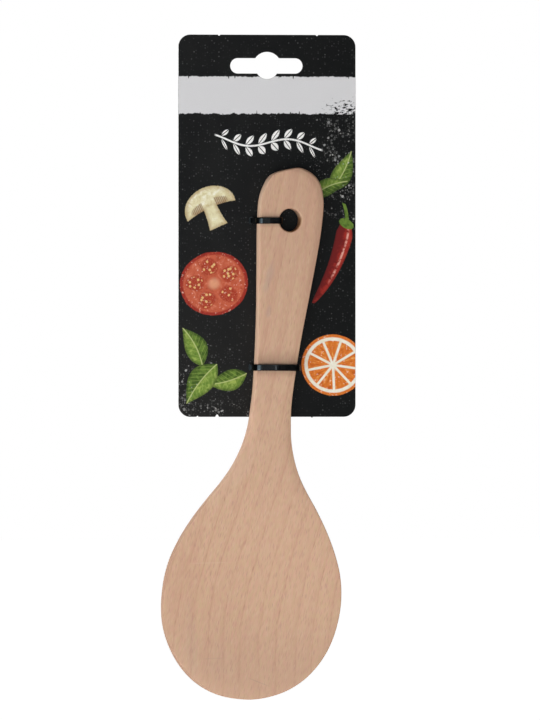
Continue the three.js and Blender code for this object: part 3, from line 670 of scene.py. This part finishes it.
def slab(loops, front, back, radii, steps, fill=(), rim_tags=None):
    """A plate with rounded rims. loops: the outline, then any holes, as 2-D polylines. front and back give the two faces' heights
    at 2-D points. radii: each loop's rim radius, one number or one per point. fill: 2-D points that the faces should also pass
    through. Returns vertices (x, y, height) and faces, each tagged 0 front, 1 back, 2 rim or the loop's own rim tag."""
    verts, faces, tags = [], [], []

    def ring(points, heights):
        start = len(verts)
        verts.extend(np.column_stack([points, heights]).tolist())
        return np.arange(start, start + len(points))

    caps = {0: [], 1: []}
    for k, loop in enumerate(loops):
        r = np.broadcast_to(radii[k], len(loop))
        if (area_of(loop) > 0) != (k == 0):  # material on the left
            loop, r = loop[::-1], r[::-1]
        d = np.roll(loop, -1, 0) - np.roll(loop, 1, 0)
        out = np.stack([d[:, 1], -d[:, 0]], 1)
        out /= np.linalg.norm(out, axis=1)[:, None]
        inner = loop - out * r[:, None]
        turns = np.linspace(0, math.pi / 2, steps + 1)
        top, bottom = front(inner), back(inner)
        rings = [ring(loop - out * (r * (1 - math.sin(t)))[:, None], top - r * (1 - math.cos(t))) for t in turns]
        rings += [ring(loop - out * (r * (1 - math.sin(t)))[:, None], bottom + r * (1 - math.cos(t))) for t in turns[::-1]]
        for a, b in zip(rings, rings[1:]):
            a2, b2 = np.roll(a, -1), np.roll(b, -1)
            for q in zip(a, b, b2, a2):
                faces.append([int(i) for i in q])
                tags.append(rim_tags[k] if rim_tags else 2)
        caps[0].append((rings[0], inner))
        caps[1].append((rings[-1], inner))

    for side, height in ((0, front), (1, back)):
        ids = [i for r, _ in caps[side] for i in r]
        flat = [p for _, q in caps[side] for p in q]
        edges, start = [], 0
        for r, _ in caps[side]:
            n = len(r)
            edges += [(start + i, start + (i + 1) % n) for i in range(n)]
            start += n
        extra = np.array(fill, float).reshape(-1, 2)
        if len(extra):
            ids += list(ring(extra, height(extra)))
            flat += list(extra)
        v, _, tris, orig, _, _ = delaunay_2d_cdt([Vector(p) for p in flat], edges, [], 0, 1e-7)
        name = [ids[o[0]] if o else None for o in orig]
        centre = np.array([[sum(v[i][k] for i in t) / 3 for k in range(2)] for t in tris])
        keep = within(centre, caps[side][0][1])
        for _, q in caps[side][1:]:
            keep &= ~within(centre, q)
        for t, good in zip(tris, keep):
            if not good or any(name[i] is None for i in t):
                continue
            a, b, c = (np.array(v[i]) for i in t)
            turn = (b[0] - a[0]) * (c[1] - a[1]) - (b[1] - a[1]) * (c[0] - a[0])
            f = [int(name[i]) for i in t]
            if (turn > 0) != (side == 0):
                f.reverse()
            faces.append(f)
            tags.append(side)
    return np.array(verts, float), faces, tags


def make(name, verts, faces, materials, tags=None, flat_caps=False):
    """A mesh object from millimetre vertices in the CAD frame. flat_caps: only the four-sided faces are shaded smooth."""
    mesh = bpy.data.meshes.new(name)
    mesh.from_pydata((np.asarray(verts) * MM).tolist(), [], faces)
    mesh.validate()
    for m in materials:
        mesh.materials.append(m)
    if tags is not None:
        mesh.polygons.foreach_set("material_index", tags)
    mesh.polygons.foreach_set("use_smooth", [not flat_caps or p.loop_total == 4 for p in mesh.polygons])
    mesh.update()
    obj = bpy.data.objects.new(name, mesh)
    bpy.context.scene.collection.objects.link(obj)
    return obj


def own(obj, node):
    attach(obj, "root")
    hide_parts(node)


# ---------------------------------------------------------------- the spoon
def smoothstep(v, a, b):
    t = np.clip((v - a) / (b - a), 0, 1)
    return t * t * (3 - 2 * t)


SPOON_RIM = even(closed_spline([*END[END_TOP:], *[(h, s) for s, _, h in OUTLINE], (TIP_SIDE, SPOON_LENGTH),
                                *[(-h, s) for s, h, _ in reversed(OUTLINE)], *END[:END_TOP]]), 760)


def spoon_front(p):
    """Height of the front face over the flat back, at points (across, along)."""
    across, along = p[:, 0], p[:, 1]
    thick = HANDLE_THICK - (HANDLE_THICK - TIP_THICK) * 1.15 * smoothstep(along, THIN_FROM, SPOON_LENGTH + 30)
    q = (across / DISH_HALF_WIDTH) ** 2 + ((along - DISH_AT) / DISH_HALF_LENGTH) ** 2
    crown = np.zeros(len(p))
    near = np.flatnonzero((along < CROWN_FADE[1]) | (along > TIP_CROWN[2]))
    if len(near):
        d = p[near, None, :] - SPOON_RIM[None, ::2, :]
        inset = np.sqrt((d**2).sum(2).min(1))
        a, side = along[near], smoothstep(across[near], -6, 3)
        drop, width = (CROWN_LEFT[k] + (CROWN_RIGHT[k] - CROWN_LEFT[k]) * side for k in range(2))
        crown[near] = drop * np.clip(1 - inset / width, 0, 1) ** 2 * (1 - smoothstep(a, *CROWN_FADE))
        for sign, (slope, wide, start, full, stay, end) in ((-1, NECK_LEFT), (1, NECK_RIGHT)):
            gap = np.where(sign * across[near] > 0, wide - inset, -6.0)
            crown[near] += slope * 0.5 * (gap + np.sqrt(gap**2 + 0.2)) * smoothstep(a, start, full) * (1 - smoothstep(a, stay, end))
        crown[near] += TIP_CROWN[0] * np.clip(1 - inset / TIP_CROWN[1], 0, 1) ** 2 * smoothstep(a, *TIP_CROWN[2:])
    return thick - DISH_DEPTH * np.where(q < 1, (1 - q) ** 2, 0.0) - crown


def build_spoon():
    rim = SPOON_RIM
    hole = np.array(arc(HOLE_SIDE, HOLE_AT, HOLE_R, 0, 2 * math.pi, 72)[:-1])
    off = hole[:, 0] - HOLE_SIDE
    hole[:, 0] = HOLE_SIDE + off * np.where(off > 0, HOLE_OVAL[1], HOLE_OVAL[0])
    # Points for the faces: a row just inside each rim, then an even spread.
    d = np.roll(rim, -1, 0) - np.roll(rim, 1, 0)
    out = np.stack([-d[:, 1], d[:, 0]], 1)
    out /= np.linalg.norm(out, axis=1)[:, None]
    if area_of(rim) > 0:
        out = -out
    shoulder = smoothstep(rim[:, 0], -2.5, 5) * (1 - smoothstep(rim[:, 1], 6, 17))
    edge = EDGE_R + (END_EDGE_R - EDGE_R) * shoulder
    fill = [rim - out * (edge + k)[:, None] for k in (0.45, 1.0)] + [(rim - out * (edge + k)[:, None])[::2] for k in (1.7, 2.5)]
    fill.append(arc(HOLE_SIDE, HOLE_AT, HOLE_R + 1.15, 0, 2 * math.pi, 72)[:-1])
    fill.append(arc(HOLE_SIDE, HOLE_AT, HOLE_R + 2.0, 0, 2 * math.pi, 40)[:-1])
    step = 1.9
    gx, gy = np.meshgrid(np.arange(-40, 40, step), np.arange(0, SPOON_LENGTH, step * 0.87))
    gx = gx + (np.arange(gx.shape[0]) % 2)[:, None] * step / 2
    spread = np.stack([gx.ravel(), gy.ravel()], 1)
    clear = rim - out * (edge + 3.4)[:, None]
    spread = spread[within(spread, clear)]
    spread = spread[np.hypot(spread[:, 0] - HOLE_SIDE, spread[:, 1] - HOLE_AT) > HOLE_R + 3.0]
    fill.append(spread)
    v, faces, _ = slab([rim, hole], spoon_front, lambda p: np.zeros(len(p)), [edge, 0.6], 6, np.vstack(fill))
    # Lay it on the card: across to x, along the handle to z, height towards the front, and lean it.
    a, b, h = v[:, 0], HOLE_AT - v[:, 1], v[:, 2]
    c, s = math.cos(SPOON_TILT), math.sin(SPOON_TILT)
    placed = np.column_stack([SPOON_AXIS_X + a * c + b * s, SPOON_BACK_Y - h, SPOON_HOLE_Z - a * s + b * c])
    # (across, along) is left-handed seen from the front, so the faces turn round.
    obj = make("spoon_beech", placed, [f[::-1] for f in faces], [BEECH])
    own(obj, "wooden_spoon")
    return obj


# ---------------------------------------------------------------- the card
def marked_edge(marks, z, out):
    """Points along an edge at height z where the die's holding nicks left marks. out is +1 where outside is up."""
    pts = []
    for x, width, depth in sorted(marks, reverse=out > 0):
        for u, d in ((-0.5, 0), (-1 / 6, depth), (1 / 6, depth), (0.5, 0)):
            pts.append((x - out * u * width, z - out * d))
    return np.array(pts)


def rounded_hole(x, z, width, height, r):
    w, h = width / 2 - r, height / 2 - r
    return np.vstack([arc(x + cx, z + cz, r, k * math.pi / 2, (k + 1) * math.pi / 2, 7)
                      for k, (cx, cz) in enumerate(((w, h), (-w, h), (-w, -h), (w, -h)))])


def build_card():
    a, b, r, top = CARD_LEFT_X, CARD_RIGHT_X, CARD_CORNER_R, CARD_TOP_Z
    low = top - CARD_HEIGHT
    n = 14
    outline = np.vstack([arc(a + r, low + r, r, math.pi, 1.5 * math.pi, n), marked_edge(BOTTOM_NICKS, low, -1),
                         arc(b - r, low + r, r, -math.pi / 2, 0, n), arc(b - r, top - r, r, 0, math.pi / 2, n),
                         marked_edge(TOP_NICKS, top, 1), arc(a + r, top - r, r, math.pi / 2, math.pi, n)])
    e = SLOT_HEIGHT / 2
    reach, mid = SLOT_WIDTH / 2 - e, -SLOT_UPPER_RISE - e
    lowest = -SLOT_UPPER_RISE - SLOT_HEIGHT - SLOT_LOWER_DROP
    up, down = math.asin(1 - SLOT_UPPER_RISE / SLOT_UPPER_R), math.asin(1 - SLOT_LOWER_DROP / SLOT_LOWER_R)
    slot = np.vstack([arc(SLOT_ROUND_X, -SLOT_UPPER_R, SLOT_UPPER_R, up, math.pi - up, 28),
                      arc(-reach, mid, e, math.pi / 2, 1.5 * math.pi, 24),
                      arc(SLOT_ROUND_X, lowest + SLOT_LOWER_R, SLOT_LOWER_R, math.pi + down, 2 * math.pi - down, 28),
                      arc(reach, mid, e, -math.pi / 2, math.pi / 2, 24)])
    loops, radii, rims = [outline, slot], [0.1, 0.1], [2, 2]
    for tie in (UPPER_TIE, LOWER_TIE):
        # The strap comes out through the right-hand hole as through a slit; the head shows behind the left-hand one.
        loops.append(rounded_hole(tie["card_left"], tie["z"], TIE_HOLE_WIDTH, TIE_HOLE_HEIGHT, TIE_HOLE_CORNER_R))
        loops.append(rounded_hole(tie["right"], tie["z"], 1.3, 2.7, 0.3))
        radii += [0.1, 0.1]
        rims += [0, 0]
    front = lambda p: np.full(len(p), CARD_THICK)
    back = lambda p: np.zeros(len(p))
    v, faces, tags = slab(loops, front, back, radii, 2, (), rims)
    placed = np.column_stack([v[:, 0], CARD_BACK_Y - v[:, 2], v[:, 1]])
    obj = make("hang_card", placed, faces, [PRINT, BOARD_BACK, BOARD_EDGE], tags, flat_caps=True)
    own(obj, "backing_card")
    return obj


# ---------------------------------------------------------------- the ties
def rounded_path(corners, radii, facets):
    c = [np.array(p, float) for p in corners]
    out = [c[0]]
    for i in range(1, len(c) - 1):
        u, v = c[i - 1] - c[i], c[i + 1] - c[i]
        u, v = u / np.linalg.norm(u), v / np.linalg.norm(v)
        half = math.acos(np.clip(u @ v, -1, 1)) / 2
        if half > 0.495 * math.pi:
            out.append(c[i])
            continue
        r = radii[i - 1]
        a, b = c[i] + u * r / math.tan(half), c[i] + v * r / math.tan(half)
        m = (u + v) / np.linalg.norm(u + v)
        centre = c[i] + m * r / math.sin(half)
        a0 = math.atan2(*(a - centre)[::-1])
        turn = (math.atan2(*(b - centre)[::-1]) - a0 + math.pi) % (2 * math.pi) - math.pi
        out += [centre + r * np.array([math.cos(a0 + turn * k / facets), math.sin(a0 + turn * k / facets)]) for k in range(facets + 1)]
    out.append(c[-1])
    return np.array(out)


def spaced(path, step):
    s = np.concatenate([[0], np.cumsum(np.linalg.norm(np.diff(path, axis=0), axis=1))])
    at = np.linspace(0, s[-1], max(2, int(round(s[-1] / step)) + 1))
    return np.stack([np.interp(at, s, path[:, k]) for k in range(2)], 1), at, s[-1]


def strap_section():
    """The strap's cross-section: (across the width, through the thickness). Outside is +, with a slight crown and round edges;
    the inside has a shallow channel where the teeth are."""
    w, t, r = STRAP_WIDTH / 2, STRAP_THICK / 2, 0.26
    pts = []
    for cx, cy, a0 in ((w - r, t - r, 0), (-w + r, t - r, math.pi / 2), (-w + r, -t + r, math.pi), (w - r, -t + r, 1.5 * math.pi)):
        pts.append(arc(cx, cy, r, a0, a0 + math.pi / 2, 4))
        if a0 == math.pi:
            pts.append(np.array([(-0.82, -t), (-0.76, -t + 0.1), (0, -t + 0.1), (0.76, -t + 0.1), (0.82, -t)]))
        if a0 == 0:
            pts.append(np.array([(0.5, t), (0, t), (-0.5, t)]))
    return np.vstack(pts)


def build_tie(name, node, tie, bow):
    head_front = CARD_BACK_Y + GAP
    head_back = head_front + HEAD_HEIGHT
    back_y = head_front + STRAP_THICK / 2
    front_y = SPOON_FRONT_Y - GAP - STRAP_THICK / 2
    left, right = tie["card_left"], tie["right"]
    root = left + HEAD_LENGTH / 2
    path = rounded_path([(root - 0.9, back_y), (right, back_y), (right, front_y), (tie["front_left"], front_y),
                         (left, CARD_FRONT_Y - 0.6), (left, head_back + TIE_TAIL)], [STRAP_BEND_R, STRAP_BEND_R, 2.4, STRAP_BEND_R], 14)
    line, at, total = spaced(path, 0.125)
    d = np.gradient(line, axis=0)
    d /= np.linalg.norm(d, axis=1)[:, None]
    outward = np.stack([d[:, 1], -d[:, 0]], 1)  # the loop is walked with its outside on this hand
    middle = line.mean(0)
    if np.sum((line - middle) * outward) < 0:
        outward = -outward
    section = strap_section()
    n = len(section)
    verts, faces = [], []
    toothed = total - 13.0  # teeth on the tail's inner face
    for i in range(len(line)):
        p, o = line[i], outward[i]
        # A hand-tightened strap lies on the wood's crown, rides up to a low ridge, and runs a little out of level.
        over = smoothstep(-p[1], -front_y - 2.6, -front_y - 0.4)
        lift, drop = bow(p[0])
        for w, t in section:
            if t < -STRAP_THICK / 2 + 0.2 and abs(w) < 0.8 and at[i] > toothed:
                t += 0.16 * ((at[i] / 0.9) % 1.0) - 0.1
            verts.append((p[0] + o[0] * t, p[1] + o[1] * t - lift * over, tie["z"] + w + drop * smoothstep(-p[1], 1.0, 7.0)))
    for i in range(len(line) - 1):
        for k in range(n):
            k2 = (k + 1) % n
            faces.append([i * n + k, i * n + k2, (i + 1) * n + k2, (i + 1) * n + k])
    faces.append(list(range(n))[::-1])
    last = (len(line) - 1) * n
    faces.append([last + k for k in range(n)])
    strap_v = np.array(verts)

    # The head: a rounded block with the strap's slot through it.
    l, h, c = HEAD_LENGTH / 2, HEAD_WIDTH / 2, 0.75
    block = np.vstack([arc(l - c, h - c, c, 0, math.pi / 2, 6), arc(-l + c, h - c, c, math.pi / 2, math.pi, 6),
                       arc(-l + c, -h + c, c, math.pi, 1.5 * math.pi, 6), arc(l - c, -h + c, c, 1.5 * math.pi, 2 * math.pi, 6)])
    sx, sz, q = STRAP_THICK / 2 + SLOT_PLAY, STRAP_WIDTH / 2 - 0.12, 0.08  # the strap fits tight at its sides
    mouth = np.vstack([arc(sx - q, sz - q, q, 0, math.pi / 2, 4), arc(-sx + q, sz - q, q, math.pi / 2, math.pi, 4),
                       arc(-sx + q, -sz + q, q, math.pi, 1.5 * math.pi, 4), arc(sx - q, -sz + q, q, 1.5 * math.pi, 2 * math.pi, 4)])
    hv, hf, _ = slab([block, mouth], lambda p: np.full(len(p), HEAD_HEIGHT), lambda p: np.zeros(len(p)), [0.45, 0.02], 4)
    head_v = np.column_stack([left + hv[:, 0], head_back - hv[:, 2], tie["z"] + hv[:, 1]])
    start = len(strap_v)
    all_v = np.vstack([strap_v, head_v])
    all_f = faces + [[i + start for i in f] for f in hf]
    obj = make(name, all_v, all_f, [NYLON], flat_caps=True)
    import bmesh

    bm = bmesh.new()
    bm.from_mesh(obj.data)
    bmesh.ops.recalc_face_normals(bm, faces=bm.faces)
    bm.to_mesh(obj.data)
    bm.free()
    own(obj, node)
    return obj


spoon = build_spoon()
card = build_card()


def lying(edge, reach, ridge, soft, slope, drop):
    """The strap's sink towards the wood along x: straight to each side of a ridge, and more over the wood's left edge."""
    return lambda x: (-0.01 - slope * (math.hypot(x - ridge, soft) - soft) - 0.15 * min(max((edge + reach - x) / reach, 0.0), 1.0) ** 2, drop(x))


upper = build_tie("tie_upper", "upper_cable_tie", UPPER_TIE, lying(-4.4, 1.0, -0.4, 0.08, 0.045, lambda x: -0.1))
lower = build_tie("tie_lower", "lower_cable_tie", LOWER_TIE, lying(-5.7, 3.0, 2.5, 0.6, 0.040, lambda x: -0.12 - 0.008 * (x + 6.0)))

# ---------------------------------------------------------------- stage and light
floor_mesh = bpy.data.meshes.new("floor")
FLOOR_Z, REACH = -0.9, 60.0
floor_mesh.from_pydata([(-REACH, -REACH, FLOOR_Z), (REACH, -REACH, FLOOR_Z), (REACH, REACH, FLOOR_Z), (-REACH, REACH, FLOOR_Z)], [], [(0, 1, 2, 3)])
floor = bpy.data.objects.new("floor", floor_mesh)
bpy.context.scene.collection.objects.link(floor)
fg = Graph("floor_white")
floor_mesh.materials.append(fg.surface((0.9, 0.9, 0.9, 1), 0.9, Specular_IOR_Level=0.1, Emission_Color=(1, 1, 1, 1), Emission_Strength=0.85))
floor.visible_glossy = False

world = bpy.data.worlds.new("studio")
bpy.context.scene.world = world
world.use_nodes = True
wt = world.node_tree
wt.nodes.clear()
seen = wt.nodes.new("ShaderNodeBackground")
seen.inputs[0].default_value, seen.inputs[1].default_value = (1, 1, 1, 1), 1.0
glow = wt.nodes.new("ShaderNodeBackground")
glow.inputs[0].default_value, glow.inputs[1].default_value = (1.0, 1.0, 1.0, 1), 0.05
path_node = wt.nodes.new("ShaderNodeLightPath")
pick = wt.nodes.new("ShaderNodeMixShader")
out_node = wt.nodes.new("ShaderNodeOutputWorld")
wt.links.new(path_node.outputs["Is Camera Ray"], pick.inputs[0])
wt.links.new(glow.outputs[0], pick.inputs[1])
wt.links.new(seen.outputs[0], pick.inputs[2])
wt.links.new(pick.outputs[0], out_node.inputs[0])


def area(name, place, aim, size, power, colour=(1, 1, 1)):
    data = bpy.data.lights.new(name, "AREA")
    data.shape, data.size, data.size_y = "RECTANGLE", size[0], size[1]
    data.energy, data.color = power, colour
    o = bpy.data.objects.new(name, data)
    bpy.context.scene.collection.objects.link(o)
    o.location = place
    o.rotation_euler = (Vector(aim) - Vector(place)).to_track_quat("-Z", "Y").to_euler()
    o.visible_camera = False
    return o


CENTRE = Vector((0.0, -0.005, -0.15))


def around(turn, rise, distance):
    """A place at a distance from the object: turn degrees to the left of the front, rise degrees up."""
    t, r = math.radians(turn), math.radians(rise)
    return CENTRE + distance * Vector((-math.sin(t) * math.cos(r), -math.cos(t) * math.cos(r), math.sin(r)))


area("front_softbox", around(28, -22, 1.08), CENTRE + Vector((0, 0, -0.06)), (0.68, 0.72), 4.65)
side = area("side_panel", around(87, 5, 0.6), Vector((0, 0, -0.085)), (0.25, 0.25), 0.225, (0.95, 1.0, 1.12))
side.data.spread = math.radians(50)
side.visible_glossy = False
for sheen in (area("sheen_panel", around(3.5, 0, 1.6), CENTRE, (0.65, 1.0), 0.9), area("sheen_left", around(25.5, 0, 1.5), CENTRE, (1.34, 0.6), 10.6, (0.70, 0.9, 1.0)),
              area("sheen_strip", around(-10, 0, 1.6), CENTRE, (0.05, 1.0), 1.0)):
    sheen.visible_diffuse = False
area("back_fill", around(-150, 25, 1.6), CENTRE, (0.9, 0.9), 6.0)
area("back_left", around(135, 58, 1.2), CENTRE + Vector((0, 0, -0.08)), (0.9, 0.9), 5.2)
overhead = bpy.data.lights.new("overhead", "SUN")
overhead.energy, overhead.angle = 0.5, math.radians(70)
overhead_o = bpy.data.objects.new("overhead", overhead)
bpy.context.scene.collection.objects.link(overhead_o)
overhead_o.location = (0, 0, 3)

bpy.context.scene.view_settings.view_transform = "Standard"
bpy.context.scene.view_settings.look = "None"
bpy.context.scene.view_settings.exposure = 0.0
bpy.context.scene.view_settings.gamma = 1.0
